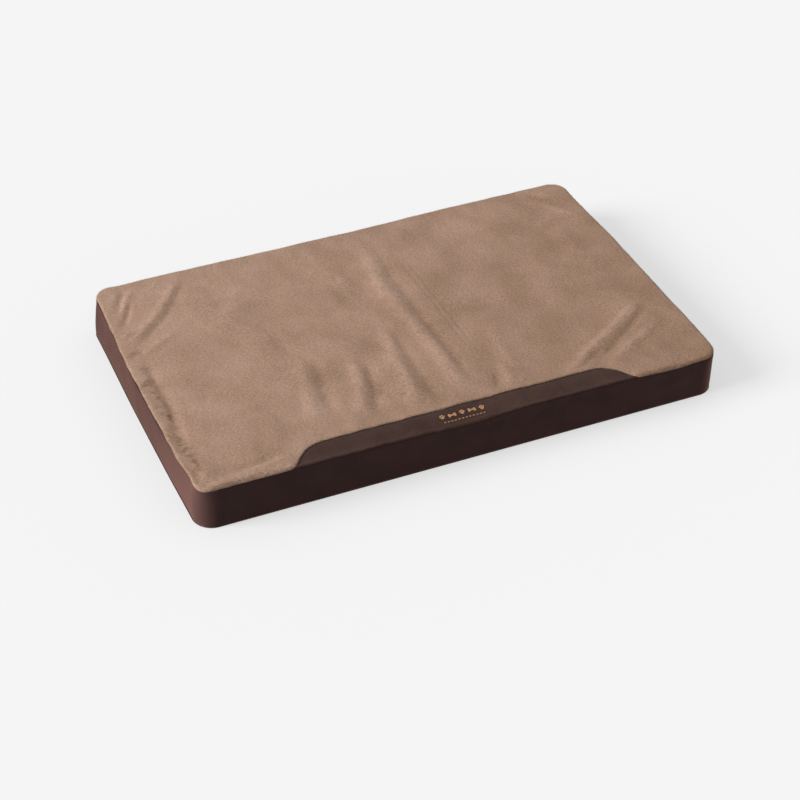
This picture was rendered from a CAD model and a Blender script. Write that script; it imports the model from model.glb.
"""Pet cushion bed: a zipped box cover of plush and dark weave over a flat foam core.

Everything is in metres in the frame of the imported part: X along the bed, -Y the front, Z up.
"""
import math

import bmesh
import bpy
import numpy as np
from mathutils import Matrix, Vector, noise
from mathutils.bvhtree import BVHTree
from mathutils.geometry import delaunay_2d_cdt


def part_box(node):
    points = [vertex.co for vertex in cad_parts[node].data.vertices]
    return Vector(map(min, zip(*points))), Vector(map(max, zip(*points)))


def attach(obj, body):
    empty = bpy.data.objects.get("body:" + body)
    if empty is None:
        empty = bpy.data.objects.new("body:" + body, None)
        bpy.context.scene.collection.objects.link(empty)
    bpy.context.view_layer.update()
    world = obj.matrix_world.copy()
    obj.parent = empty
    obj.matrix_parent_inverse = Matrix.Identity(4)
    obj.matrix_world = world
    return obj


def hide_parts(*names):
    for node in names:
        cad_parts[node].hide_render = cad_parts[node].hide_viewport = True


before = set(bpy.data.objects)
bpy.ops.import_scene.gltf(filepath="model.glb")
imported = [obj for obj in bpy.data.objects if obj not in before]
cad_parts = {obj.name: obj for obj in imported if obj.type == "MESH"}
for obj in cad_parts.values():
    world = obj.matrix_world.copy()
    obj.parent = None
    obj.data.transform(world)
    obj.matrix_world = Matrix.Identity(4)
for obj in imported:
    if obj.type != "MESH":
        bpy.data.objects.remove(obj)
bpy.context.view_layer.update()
MM = 0.001


# ---- Studio ----------------------------------------------------------------------------------
# A pale seamless floor under one broad soft light from the left, with an even fill from all
# round. The camera is a long lens that looks down on the front left corner of the bed.

FLOOR_SIDE = 30.0
FLOOR_DROP = 0.2 * MM
FLOOR_GLOW = 0.53
KEY_ENERGY = 3.75
KEY_SPREAD = 30.0
KEY_AZIMUTH = -96.0
KEY_ELEVATION = 28.0
FILL_STRENGTH = 0.67


def linear(hex_colour):
    """A colour written as sRGB hex, as linear RGBA."""
    channels = [int(hex_colour[i:i + 2], 16) / 255 for i in (1, 3, 5)]
    return [c / 12.92 if c <= 0.04045 else ((c + 0.055) / 1.055) ** 2.4 for c in channels] + [1.0]


def add(tree, kind, inputs=(), **settings):
    """Adds a node to a tree, with its settings, and its inputs as values, outputs or nodes."""
    node = tree.nodes.new(kind)
    for name, value in settings.items():
        setattr(node, name, value)
    for name, value in dict(inputs).items():
        if isinstance(value, bpy.types.Node):
            value = value.outputs[0]
        if isinstance(value, bpy.types.NodeSocket):
            tree.links.new(value, node.inputs[name])
        else:
            node.inputs[name].default_value = value
    return node


def new_material(name):
    """An empty material, its tree, and the coordinates that its patterns may follow."""
    material = bpy.data.materials.new(name)
    material.use_nodes = True
    tree = material.node_tree
    tree.nodes.clear()
    return material, tree, add(tree, "ShaderNodeTexCoord").outputs


def back_vector(azimuth, elevation):
    """The direction from the bed towards an eye or a lamp at these angles, in degrees."""
    a, e = math.radians(azimuth), math.radians(elevation)
    return Vector((math.sin(a) * math.cos(e), -math.cos(a) * math.cos(e), math.sin(e)))


camera_data = bpy.data.cameras.new("camera")
camera_data.lens = 90.0
camera_data.sensor_width = 36.0
camera = bpy.data.objects.new("camera", camera_data)
bpy.context.collection.objects.link(camera)
camera_back = back_vector(-24.246, 38.632)
camera_right = (-camera_back).cross(Vector((0, 0, 1))).normalized()
camera_up = camera_right.cross(-camera_back)
camera_axes = Matrix((camera_right, camera_up, camera_back)).transposed()
camera_roll = Matrix.Rotation(math.radians(1.047), 3, "Z")
camera_turn = (camera_axes @ camera_roll).to_4x4()
camera.matrix_world = Matrix.Translation((-0.964, -2.1493, 1.8036)) @ camera_turn
bpy.context.scene.camera = camera
bpy.context.scene.view_settings.view_transform = "Standard"

key_data = bpy.data.lights.new("key", "SUN")
key_data.energy = KEY_ENERGY
key_data.angle = math.radians(KEY_SPREAD)
key = bpy.data.objects.new("key", key_data)
key.rotation_euler = back_vector(KEY_AZIMUTH, KEY_ELEVATION).to_track_quat("Z", "Y").to_euler()
bpy.context.collection.objects.link(key)

world = bpy.data.worlds.new("studio")
world.use_nodes = True
world.node_tree.nodes["Background"].inputs["Color"].default_value = linear("#ffffff")
world.node_tree.nodes["Background"].inputs["Strength"].default_value = FILL_STRENGTH
bpy.context.scene.world = world

# Studio floor: a matt translucent sheet lit from below, so that shadows on it stay pale. It
# throws back only a little light on what stands on it.
floor_paint, tree, _ = new_material("lit_translucent_floor")
bsdf = add(tree, "ShaderNodeBsdfPrincipled", {
    "Base Color": linear("#979797"), "Roughness": 0.95, "Specular IOR Level": 0.1,
})
glow = add(tree, "ShaderNodeEmission", {"Color": linear("#ffffff"), "Strength": FLOOR_GLOW})
ray = add(tree, "ShaderNodeLightPath")
seen_glow = add(tree, "ShaderNodeMixShader", {"Fac": ray.outputs["Is Camera Ray"], 2: glow})
both = add(tree, "ShaderNodeAddShader", {0: bsdf, 1: seen_glow})
add(tree, "ShaderNodeOutputMaterial", {"Surface": both})


def new_piece(name, vertices, faces, material):
    """A smooth-shaded mesh object in the scene."""
    mesh = bpy.data.meshes.new(name)
    mesh.from_pydata([tuple(v) for v in vertices], [], list(faces))
    mesh.materials.append(material)
    mesh.shade_smooth()
    piece = bpy.data.objects.new(name, mesh)
    bpy.context.collection.objects.link(piece)
    return piece


SQUARE = ((-1, -1), (1, -1), (1, 1), (-1, 1))
floor_corners = [(x * FLOOR_SIDE / 2, y * FLOOR_SIDE / 2, -FLOOR_DROP) for x, y in SQUARE]
floor = new_piece("floor", floor_corners, [(0, 1, 2, 3)], floor_paint)


# ---- Plush top -------------------------------------------------------------------------------
# The lying surface is one panel of short-pile plush, cut with round corners and sewn to the
# band all round. It is a little loose on the foam, so it carries soft folds and a rolled rim.

_, band_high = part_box("side_band")
HALF_L, HALF_W = band_high.x, band_high.y
SEAM_Z = band_high.z
CORNER_R = 30 * MM

PLUSH_T = 2.6 * MM
GRID_STEP = 4.2 * MM
OUTLINE_STEP = 4.0 * MM
ARC_STEP = 6.0
RIM_R = 3.9 * MM
RIM_START = -35.0
RIM_BACK = 1.8 * MM
RIM_REACH = 7.0 * MM
THIN_RIM = 0.26
# Rows of points, in mm: in from the rim, beside the insert's seam, and beside a pressed line
RIM_RINGS = (0.0, 0.5, 1.1, 1.8, 2.6, 3.5, 4.6, 5.8, 7.0, 9.5)
INSERT_ROWS = (-4.2, -2.8, -1.6, -0.7, 0.7, 1.6, 2.8, 4.2)
PRESSED_ROWS = (-2.2, -1.1, 0, 1.1, 2.2)
LINE_STEP = 3 * MM
# Triangles with less area than this are left out
SLIVER = 0.01 * MM ** 2

# The cloth simulation that gives the small waves between the folds
WAVE_STEP = 8 * MM
WAVE_FRAMES = 24
WAVE_BENDING = 30
WAVE_STIFFNESS = 30
WAVE_MASS = 0.3
WAVE_GAP = 1 * MM
WAVE_LOOSE = 0.006
WAVE_CAP = 1.5 * MM
WAVE_SHARE = 0.5

_, insert_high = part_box("front_insert")
INSERT_X, INSERT_Y = insert_high.x, insert_high.y
INSERT_ROUND = 48 * MM
SHOULDER_X = INSERT_X - (INSERT_Y + HALF_W) - INSERT_ROUND * math.tan(math.radians(22.5))


def smooth(t):
    """Smooth step from 0 to 1."""
    t = np.clip(t, 0, 1)
    return t * t * (3 - 2 * t)


def outline(inset=0.0, step=OUTLINE_STEP):
    """Points and outward directions round the bed, from the middle of the rear by the left end."""
    radius = max(CORNER_R - inset, 0.5 * MM)
    middle_x, middle_y = HALF_L - inset - radius, HALF_W - inset - radius
    points, normals = [], []
    corners = ((-1, 1, 90), (-1, -1, 180), (1, -1, 270), (1, 1, 0))
    start = Vector((0, HALF_W - inset))
    for side_x, side_y, angle in corners:
        centre = Vector((side_x * middle_x, side_y * middle_y))
        turn = [math.radians(angle + a) for a in np.arange(0, 90 + ARC_STEP / 2, ARC_STEP)]
        arc = [centre + radius * Vector((math.cos(a), math.sin(a))) for a in turn]
        count = max(1, round((arc[0] - start).length / step))
        facing = Vector((math.cos(turn[0]), math.sin(turn[0])))
        points += [start.lerp(arc[0], i / count) for i in range(count)]
        normals += [facing] * count
        points += arc[:-1]
        normals += [Vector((math.cos(a), math.sin(a))) for a in turn[:-1]]
        start = arc[-1]
    count = round(middle_x / step)
    points += [start.lerp(Vector((0, HALF_W - inset)), i / count) for i in range(count)]
    normals += [Vector((0, 1))] * count
    return np.array(points), np.array(normals)


def inset_and_facing(x, y):
    """How far points lie inside the outline, and the outward direction there."""
    corner_x, corner_y = np.abs(x) - (HALF_L - CORNER_R), np.abs(y) - (HALF_W - CORNER_R)
    out_x, out_y = np.maximum(corner_x, 0), np.maximum(corner_y, 0)
    length = np.hypot(out_x, out_y)
    inside = np.minimum(np.maximum(corner_x, corner_y), 0)
    in_corner = length > 1e-9
    face_x = np.where(in_corner, out_x / np.maximum(length, 1e-9), corner_x > corner_y)
    face_y = np.where(in_corner, out_y / np.maximum(length, 1e-9), corner_x <= corner_y)
    return CORNER_R - length - inside, face_x * np.sign(x), face_y * np.sign(y)


def draw_in(vertices):
    """Moves points inwards where the cover is sewn tighter than its pattern: at the ends and rear."""
    x, y, z = vertices[:, 0] / MM, vertices[:, 1] / MM, vertices[:, 2] / MM
    left, right = smooth((-x - 330) / 60), smooth((x - 330) / 60)
    rear = smooth((y - 190) / 50) * smooth((z - 42) / 20)
    share = 0.35 + 0.65 * smooth(z / 60)
    at_left = 7 * smooth((y - 10) / 210) + 4 * smooth((-y - 100) / 140)
    at_right = 2.5 + 5 * smooth((y - 60) / 150) + 2 * smooth((-y - 190) / 50)
    moved = vertices.copy()
    moved[:, 0] += (left * at_left - right * at_right) * share * MM
    moved[:, 1] -= rear * 5 * smooth((210 - x) / 260) * MM
    return moved


def to_line(points, x, y):
    """Distance from each place to a line of points, and how far along the line its foot is."""
    points = np.array(points, float)
    steps = np.linalg.norm(np.diff(points, axis=0), axis=1)
    before = np.concatenate([[0], np.cumsum(steps)])
    best, share = np.full(x.shape, 1e9), np.zeros(x.shape)
    for i, step in enumerate(steps):
        along = (points[i + 1] - points[i]) / step
        t = np.clip((x - points[i, 0]) * along[0] + (y - points[i, 1]) * along[1], 0, step)
        away = np.hypot(x - points[i, 0] - t * along[0], y - points[i, 1] - t * along[1])
        nearer = away < best
        best = np.where(nearer, away, best)
        share = np.where(nearer, (before[i] + t) / before[-1], share)
    return best, share


def insert_line():
    """The curved seam between plush and insert, from its left end to its right end."""
    right = [
        (SHOULDER_X + INSERT_ROUND * math.sin(a), INSERT_Y - INSERT_ROUND * (1 - math.cos(a)))
        for a in np.radians(np.arange(0, 46, 5))
    ] + [(INSERT_X, -HALF_W)]
    corners = [(-px, py) for px, py in reversed(right)] + right
    line = []
    for (ax, ay), (bx, by) in zip(corners, corners[1:]):
        count = max(1, round(math.hypot(bx - ax, by - ay) / LINE_STEP))
        line += [(ax + (bx - ax) * i / count, ay + (by - ay) * i / count) for i in range(count)]
    return line + [corners[-1]]


def in_insert(x, y):
    """True inside the insert's outline."""
    arc_end = INSERT_ROUND * math.sin(math.radians(45))
    over_shoulder = np.clip(np.abs(x) - SHOULDER_X, 0, arc_end)
    top = INSERT_Y - INSERT_ROUND + np.sqrt(INSERT_ROUND ** 2 - over_shoulder ** 2)
    on_arc = np.abs(x) < SHOULDER_X + arc_end
    return y < np.where(on_arc, top, INSERT_X - np.abs(x) - HALF_W)


# Folds of the cloth, in mm: the line that each follows, its height and its half width.
# Soft folds that fan out from the middle of the insert
FAN_FOLDS = [
    ([(20, 190), (12, 100), (14, 20), (21, -57), (22, -122), (20, -185)], 3.2, 12),
    ([(40, 185), (36, 109), (36, -5), (39, -107), (40, -195)], -1.5, 7),
    ([(-20, -30), (-22, -102), (-21, -159), (-26, -205)], -2.0, 7),
    ([(-29, 0), (-39, -84), (-47, -153), (-62, -200)], 2.6, 11),
    ([(-83, -70), (-95, -139), (-119, -195)], -2.5, 8),
    ([(-98, -50), (-112, -124), (-139, -185)], 2.6, 10),
    ([(-151, -30), (-157, -95), (-172, -165)], -1.7, 9),
    ([(-172, -40), (-182, -105), (-200, -180)], 2.0, 11),
    ([(76, -165), (67, -202)], -2, 6),
    ([(92, -150), (88, -200)], 2.2, 8),
    ([(116, -51), (108, -157), (102, -190)], 1.6, 12),
]
# Pulls from the right shoulder of the insert towards the right rear corner
RIGHT_FOLDS = [
    ([(172, -208), (233, -166), (277, -140), (316, -115), (355, -86)], 3.6, 9),
    ([(213, -206), (258, -176), (305, -144), (354, -107)], -2.4, 6),
    ([(235, -214), (284, -183), (327, -160), (350, -146)], 3.0, 8),
    ([(190, -206), (222, -186), (250, -168)], -1.5, 4),
]
# Pulls across the left rear corner
LEFT_FOLDS = [
    ([(-383, 79), (-351, 105), (-313, 140), (-281, 182), (-252, 228)], -1.9, 7),
    ([(-388, 96), (-361, 112), (-323, 143), (-295, 177), (-264, 225)], 3.2, 9),
    ([(-378, 60), (-340, 80), (-308, 98)], 1.9, 6),
    ([(-384, 135), (-372, 155), (-352, 190)], -2.8, 5),
    ([(-392, 108), (-380, 116), (-366, 120)], 2.2, 4),
    ([(-391, 66), (-379, 70), (-366, 70)], -2.2, 4),
    ([(-386, 168), (-368, 200), (-351, 228)], -2.2, 6),
    ([(-372, 176), (-352, 204), (-336, 226)], 1.9, 7),
    ([(-399, -9), (-384, -5), (-370, 4)], -2.5, 4),
    ([(-253, 78), (-215, 118), (-184, 170)], 1.4, 14),
]
# The hollow behind the rolled rim at the left end, and the roll at the left front corner
RIM_FOLDS = [
    ([(-371, 60), (-375, 32), (-373, -16), (-374, -73), (-381, -123), (-385, -180)], -3.4, 7),
    ([(-387, -200), (-388, -226), (-372, -238)], -3.1, 5),
    ([(-388, -243), (-366, -241), (-329, -240), (-300, -236), (-262, -226)], 3.2, 6),
    ([(-340, -222), (-300, -222), (-262, -210)], -1.5, 7),
]
# Fine pulls at the right rear corner
REAR_FOLDS = [
    ([(310, 244), (344, 226), (388, 196)], 1.5, 5),
    ([(300, 220), (337, 191), (360, 167), (384, 137)], 1.7, 5),
    ([(318, 232), (350, 204), (380, 170)], -1.4, 5),
]
# Two lines that the packing pressed into the pile
PRESSED_LINES = [
    ([(62, 170), (68, -130)], -0.4, 1.3),
    ([(72, 174), (77, -130)], -0.4, 1.3),
    ([(64, -137), (92, -135)], -0.4, 1.3),
]
FOLDS = FAN_FOLDS + RIGHT_FOLDS + LEFT_FOLDS + RIM_FOLDS + REAR_FOLDS + PRESSED_LINES


def fold_height(x, y):
    """Height that all the folds together add at each place."""
    total = np.zeros(x.shape)
    for points, height, width in FOLDS:
        away, share = to_line([(px * MM, py * MM) for px, py in points], x, y)
        taper = smooth(share / 0.22) * smooth((1 - share) / 0.22)
        total += height * MM * np.exp(-(away / (width * MM)) ** 2) * (0.15 + 0.85 * taper)
    return total


def ripple(x, y, size, seed):
    """Smooth noise from about -1 to 1 with bumps of this size."""
    return np.array([noise.noise(Vector((px / size, py / size, seed))) for px, py in zip(x, y)])


# Sags and lifts of the front seam, in mm: place along X, rise and half width
FRONT_SAGS = ((-2, -4.5, 60), (-300, 1.5, 120), (329, -3, 40))


def seam_height(x, y):
    """Height of the top seam: level, with a slight wander, and the sags along the front."""
    front = smooth((-y - (HALF_W - CORNER_R)) / CORNER_R)
    sags = sum(
        rise * MM * np.exp(-((x - place * MM) / (width * MM)) ** 2)
        for place, rise, width in FRONT_SAGS
    )
    return SEAM_Z + front * sags + 0.7 * MM * ripple(x, y, 70 * MM, 3.0)


def thin_at(x, y):
    """Near 1 along the part of the front rim where the thin insert meets the band."""
    at_insert = smooth((INSERT_X + 4 * MM - np.abs(x)) / (16 * MM))
    return at_insert * smooth((-y - HALF_W + 60 * MM) / (20 * MM))


def corner_pull(x, y):
    """How far the top seam is drawn out at the corners, most at the front left one."""
    total = np.zeros(x.shape)
    for side_x, side_y, pull in ((-1, -1, 5.5), (1, -1, 3.5), (1, 1, 1.0), (-1, 1, 2.5)):
        tip_x = side_x * (HALF_L - CORNER_R * (1 - math.sqrt(0.5)))
        tip_y = side_y * (HALF_W - CORNER_R * (1 - math.sqrt(0.5)))
        total += pull * MM * np.exp(-((x - tip_x) ** 2 + (y - tip_y) ** 2) / (15 * MM) ** 2)
    return total


def flat_mesh(points, edges=()):
    """Triangles that face up over points of a plan, without the slivers along straight sides."""
    flat, _, faces, _, _, _ = delaunay_2d_cdt([Vector(p) for p in points], list(edges), [], 0, 1e-5)
    flat, faces = np.array(flat), np.array(faces)
    one, two = flat[faces[:, 1]] - flat[faces[:, 0]], flat[faces[:, 2]] - flat[faces[:, 0]]
    area = one[:, 0] * two[:, 1] - one[:, 1] * two[:, 0]
    faces[area < 0] = faces[area < 0, ::-1]
    return flat, [tuple(f) for f in faces[np.abs(area) > SLIVER].tolist()]


def staggered(pitch):
    """Places in staggered rows at this pitch over the whole bed."""
    row_gap = pitch * math.sqrt(3) / 2
    rows, columns = int(HALF_W / row_gap), int(HALF_L / pitch)
    return np.array([
        ((i + (j % 2) / 2) * pitch, j * row_gap)
        for j in range(-rows, rows + 1) for i in range(-columns, columns + 1)
    ])


def beside(path, offset):
    """Places along a path, at a distance to the left of it."""
    path = np.array(path, float)
    for a, b in zip(path, path[1:]):
        length = np.linalg.norm(b - a)
        along = (b - a) / length
        left = np.array((-along[1], along[0]))
        count = max(1, round(length / LINE_STEP))
        for i in range(count):
            yield tuple(a + along * length * i / count + left * offset * MM)


def top_mesh():
    """The cloth over the whole top: triangles with extra rows along the rim and the insert."""
    line = insert_line()
    points = [tuple(p) for inset in RIM_RINGS for p in outline(inset * MM)[0]]
    grid = staggered(GRID_STEP)
    inset, _, _ = inset_and_facing(*grid.T)
    from_insert, _ = to_line(line, *grid.T)
    keep = (inset > (RIM_RINGS[-1] + 2.5) * MM) & (from_insert > 5.5 * MM)
    pressed = [np.array(fold, float) * MM for fold, _, _ in PRESSED_LINES]
    for fold in pressed:
        keep &= to_line(fold, *grid.T)[0] > 3.2 * MM
    points += [tuple(p) for p in grid[keep]]
    for offset in INSERT_ROWS:
        rows = np.array(list(beside(line, offset)))
        inset, _, _ = inset_and_facing(*rows.T)
        points += [tuple(p) for p in rows[inset > (RIM_RINGS[-1] + 1) * MM]]
    for fold in pressed:
        for offset in PRESSED_ROWS:
            points += list(beside(fold, offset))
    first = len(points)
    inner_line = [p for p in line if inset_and_facing(*np.array(p)[:, None])[0][0] > 0.05 * MM]
    points += inner_line
    edges = [(first + i, first + i + 1) for i in range(len(inner_line) - 1)]
    return flat_mesh(points, edges)


def thicken(piece, thickness):
    """Gives a cloth its thickness, inwards from the side that shows."""
    wall = piece.modifiers.new("thickness", "SOLIDIFY")
    wall.thickness = thickness
    wall.offset = -1.0
    wall.use_even_offset = False


def settled_waves():
    """Waves of a slightly loose sheet, sewn at its rim, that comes to rest on the foam."""
    reach_x, reach_y = HALF_L - 6 * MM, HALF_W - 6 * MM
    columns, rows = int(2 * reach_x / WAVE_STEP) + 1, int(2 * reach_y / WAVE_STEP) + 1
    xs, ys = np.linspace(-reach_x, reach_x, columns), np.linspace(-reach_y, reach_y, rows)
    grid_x, grid_y = (g.ravel() for g in np.meshgrid(xs, ys))
    start = 2 * MM + 0.6 * MM * ripple(grid_x, grid_y, 70 * MM, 17.0)
    faces = [
        (a, a + 1, a + columns + 1, a + columns)
        for j in range(rows - 1) for a in range(j * columns, (j + 1) * columns - 1)
    ]
    sheet = new_piece("wave_sheet", np.column_stack([grid_x, grid_y, start]), faces, floor_paint)
    rim = sheet.vertex_groups.new(name="sewn")
    on_rim = (np.abs(grid_x) > reach_x - 1e-6) | (np.abs(grid_y) > reach_y - 1e-6)
    rim.add(np.flatnonzero(on_rim).tolist(), 1.0, "REPLACE")
    block = [(x * HALF_L, y * HALF_W, z) for z in (-30 * MM, 0) for x, y in SQUARE]
    sides = [(3, 2, 1, 0), (4, 5, 6, 7), (0, 1, 5, 4), (1, 2, 6, 5), (2, 3, 7, 6), (3, 0, 4, 7)]
    support = new_piece("wave_support", block, sides, floor_paint)
    support.modifiers.new("collision", "COLLISION")
    support.collision.thickness_outer = WAVE_GAP
    cloth = sheet.modifiers.new("cloth", "CLOTH")
    cloth.settings.quality = 6
    cloth.settings.mass = WAVE_MASS
    cloth.settings.tension_stiffness = WAVE_STIFFNESS
    cloth.settings.compression_stiffness = WAVE_STIFFNESS
    cloth.settings.bending_stiffness = WAVE_BENDING
    cloth.settings.vertex_group_mass = "sewn"
    cloth.settings.shrink_min = -WAVE_LOOSE
    cloth.collision_settings.distance_min = WAVE_GAP
    cloth.point_cache.frame_end = WAVE_FRAMES
    for moment in range(1, WAVE_FRAMES + 1):
        bpy.context.scene.frame_set(moment)
    evaluated = sheet.evaluated_get(bpy.context.evaluated_depsgraph_get())
    waves = np.array([v.co.z for v in evaluated.data.vertices]).reshape(rows, columns)
    bpy.data.objects.remove(sheet)
    bpy.data.objects.remove(support)
    bpy.context.scene.frame_set(1)
    waves -= waves[2:-2, 2:-2].mean()
    return np.clip(waves, -WAVE_CAP, WAVE_CAP), xs, ys


def sampled(field, xs, ys, x, y):
    """The height of a grid of heights at each place, between its points."""
    u = np.clip((x - xs[0]) / (xs[1] - xs[0]), 0, len(xs) - 1.001)
    v = np.clip((y - ys[0]) / (ys[1] - ys[0]), 0, len(ys) - 1.001)
    i, j = u.astype(int), v.astype(int)
    fu, fv = smooth(u - i), smooth(v - j)
    low = field[j, i] * (1 - fu) + field[j, i + 1] * fu
    high = field[j + 1, i] * (1 - fu) + field[j + 1, i + 1] * fu
    return low * (1 - fv) + high * fv


plan, top_faces = top_mesh()
plan_x, plan_y = plan.T
plan_inset, facing_x, facing_y = inset_and_facing(plan_x, plan_y)
plan_inset = np.maximum(plan_inset, 0)


def bumps(size, seed):
    """Smooth noise over the top, with bumps of this size in mm."""
    return ripple(plan_x, plan_y, size * MM, seed)


def by_rim(reach):
    """1 along the rim of the top, fading inwards over this reach in mm."""
    return np.exp(-plan_inset / (reach * MM))


# The rim rolls from under its widest point, at the seam, over to the flat of the top. The thin
# insert bends more sharply than the plush.
thin_rim = thin_at(plan_x, plan_y)
rim_r, rim_reach = RIM_R * (1 - THIN_RIM * thin_rim), RIM_REACH * (1 - THIN_RIM * thin_rim)
rim_turn = np.radians(RIM_START + (90 - RIM_START) * np.clip(plan_inset / rim_reach, 0, 1))
rim_blend = smooth((plan_inset - rim_reach) / (12 * MM))
past_rim = plan_inset - (rim_reach - rim_r) * (1 - rim_blend)
new_inset = np.where(plan_inset < rim_reach, rim_r * (1 - np.cos(rim_turn)), past_rim)
off_rim = smooth(plan_inset / (5 * MM))
height = SEAM_Z + rim_r * (np.sin(rim_turn) - math.sin(math.radians(RIM_START)))
rim_rise = 1 - math.sin(math.radians(RIM_START))
height += (RIM_R - rim_r) * rim_rise * smooth((plan_inset - rim_reach) / (20 * MM))
height += (seam_height(plan_x, plan_y) - SEAM_Z) * by_rim(14)
# Folds, wide and narrow bumps, and the fine unevenness of the pile
height += off_rim * fold_height(plan_x, plan_y)
height += off_rim * (0.35 + 0.5 * by_rim(45)) * MM * bumps(62, 11.0)
height += off_rim * 0.45 * by_rim(45) * MM * bumps(24, 5.0)
height += off_rim * 0.12 * MM * bumps(9, 7.0)
height += off_rim * WAVE_SHARE * sampled(*settled_waves(), plan_x, plan_y)
# The rim puckers between stitches, wanders, and is lumpy where the pile bunches at the left
pucker = 0.5 * MM * bumps(11, 2.0) * by_rim(5) * (1 - 0.8 * thin_rim)
lumps = (0.4 + 1.4 * smooth((-plan_x - 340 * MM) / (50 * MM))) * MM * bumps(26, 13.0) * by_rim(14)
height += off_rim * 0.8 * lumps
shift_out = plan_inset - new_inset - np.abs(pucker) * 0.6
shift_out += 1.1 * MM * bumps(160, 9.0) * by_rim(30)
shift_out += lumps
shift_out -= RIM_BACK * (1 - smooth(plan_inset / (90 * MM)))
shift_out += corner_pull(plan_x, plan_y) * by_rim(16)
top_shape = draw_in(np.stack([
    plan_x + facing_x * shift_out, plan_y + facing_y * shift_out, height + pucker,
], axis=1))


def finish(tree, tones, relief, look, rubbed=None):
    """Ends a material with its surface, whose colour and relief come from patterns.

    Each of the tones is a pattern, the two levels between which it changes, and the colour at
    each; they are multiplied together. Each relief is a pattern, its strength and its depth.
    Where the rubbed pattern is 1, its colour covers the others.
    """
    look = dict(look)
    for pattern, low, high, dark, pale in tones:
        share = add(tree, "ShaderNodeMapRange", {"Value": pattern, "From Min": low, "From Max": high})
        tint = add(tree, "ShaderNodeMixRGB", {
            "Fac": share, "Color1": linear(dark), "Color2": linear(pale),
        })
        if "Base Color" in look:
            tint = add(tree, "ShaderNodeMixRGB", {
                "Fac": 1.0, "Color1": look["Base Color"], "Color2": tint,
            }, blend_type="MULTIPLY")
        look["Base Color"] = tint
    if rubbed:
        cover = add(tree, "ShaderNodeMixRGB", {
            "Fac": rubbed[0], "Color1": look["Base Color"], "Color2": linear(rubbed[1]),
        })
        look["Base Color"] = cover
    for pattern, strength, depth in relief:
        below = {"Normal": look["Normal"]} if "Normal" in look else {}
        bump = add(tree, "ShaderNodeBump", {
            "Height": pattern, "Strength": strength, "Distance": depth, **below,
        })
        look["Normal"] = bump
    bsdf = add(tree, "ShaderNodeBsdfPrincipled", look)
    add(tree, "ShaderNodeOutputMaterial", {"Surface": bsdf})


# Plush, a knitted backing with a cut polyester pile about 2 mm long. The pile makes it matt,
# pale at grazing angles and darker wherever it was brushed the other way. Pile streaks are
# drawn about 3 mm long, which is coarser than the fibres, so that they show.
plush, tree, place = new_material("short_pile_plush")
lean = add(tree, "ShaderNodeMapping", {
    "Vector": place["Object"], "Location": (1.37, 0.71, 0.43),
    "Rotation": (0, 0, math.radians(24)), "Scale": (1, 2.6, 1),
})
streaks = add(tree, "ShaderNodeTexNoise", {
    "Vector": lean, "Scale": 240.0, "Detail": 5.0, "Roughness": 0.7,
})
tufts = add(tree, "ShaderNodeTexNoise", {
    "Vector": place["Object"], "Scale": 700.0, "Detail": 2.0, "Roughness": 0.5,
})
nap = add(tree, "ShaderNodeTexNoise", {
    "Vector": place["Object"], "Scale": 21.0, "Detail": 6.0, "Roughness": 0.62, "Distortion": 0.3,
})
raised = add(tree, "ShaderNodeAttribute", attribute_name="raised").outputs["Fac"]
brushed = add(tree, "ShaderNodeAttribute", attribute_name="brushed").outputs["Fac"]
finish(
    tree,
    [(nap, 0.36, 0.64, "#b19580", "#bea18e"), (streaks, 0.3, 0.7, "#b3a9a0", "#ffffff"),
     (raised, 0.0, 1.0, "#ddd6cb", "#fffbfa")],
    [(streaks, 0.9, 2.0 * MM), (tufts, 0.6, 0.5 * MM)],
    {"Roughness": 0.95, "Specular IOR Level": 0.1, "Sheen Weight": 0.24, "Sheen Roughness": 0.45,
     "Sheen Tint": linear("#f0d0c6")},
    rubbed=(brushed, "#5f4535"),
)


def vertex_normals(vertices, faces):
    """Unit normals at the corners of a mesh of triangles."""
    v, f = np.asarray(vertices), np.array(faces)
    across = np.cross(v[f[:, 1]] - v[f[:, 0]], v[f[:, 2]] - v[f[:, 0]])
    total = np.zeros(v.shape)
    for i in range(3):
        np.add.at(total, f[:, i], across)
    return total / np.maximum(np.linalg.norm(total, axis=1, keepdims=True), 1e-12)


def part_of(vertices, faces):
    """The vertices that some of the faces use, those faces numbered anew, and the old numbers."""
    used = np.unique(np.array(faces))
    renumber = {old: new for new, old in enumerate(used.tolist())}
    return np.asarray(vertices)[used], [tuple(renumber[i] for i in f) for f in faces], used


def with_field(piece, name, values):
    """Stores a value at each point of a piece, for its material to read."""
    attribute = piece.data.attributes.new(name, "FLOAT", "POINT")
    attribute.data.foreach_set("value", values.astype(np.float32))


top_normals = vertex_normals(top_shape, top_faces)
middles = plan[np.array(top_faces)].mean(axis=1)
faces_in_insert = in_insert(middles[:, 0], middles[:, 1])
from_insert, _ = to_line(insert_line(), plan_x, plan_y)
EDGE_ROUND = 2.4 * MM
edge_drop = EDGE_ROUND * (1 - np.sqrt(1 - np.clip(1 - from_insert / EDGE_ROUND, 0, 1) ** 2))
plush_shape = top_shape - top_normals * (0.65 * edge_drop)[:, None]
shape, faces, used = part_of(plush_shape, [f for f, held in zip(top_faces, faces_in_insert) if not held])
top_panel = new_piece("plush_top", shape, faces, plush)
patches = 0.42 + 0.7 * bumps(45, 21.0) + 0.8 * bumps(7, 23.0)
near_left = smooth((-plan_x - 352 * MM) / (18 * MM)) * smooth((plan_y + 225 * MM) / (40 * MM))
near_left *= 0.25 + 0.75 * smooth((90 * MM - plan_y) / (80 * MM))
near_rim = np.exp(-((plan_inset - 16 * MM) / (9 * MM)) ** 2) * near_left
near_corner = np.exp(-np.hypot(plan_x + 379 * MM, plan_y + 226 * MM) / (14 * MM))
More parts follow.
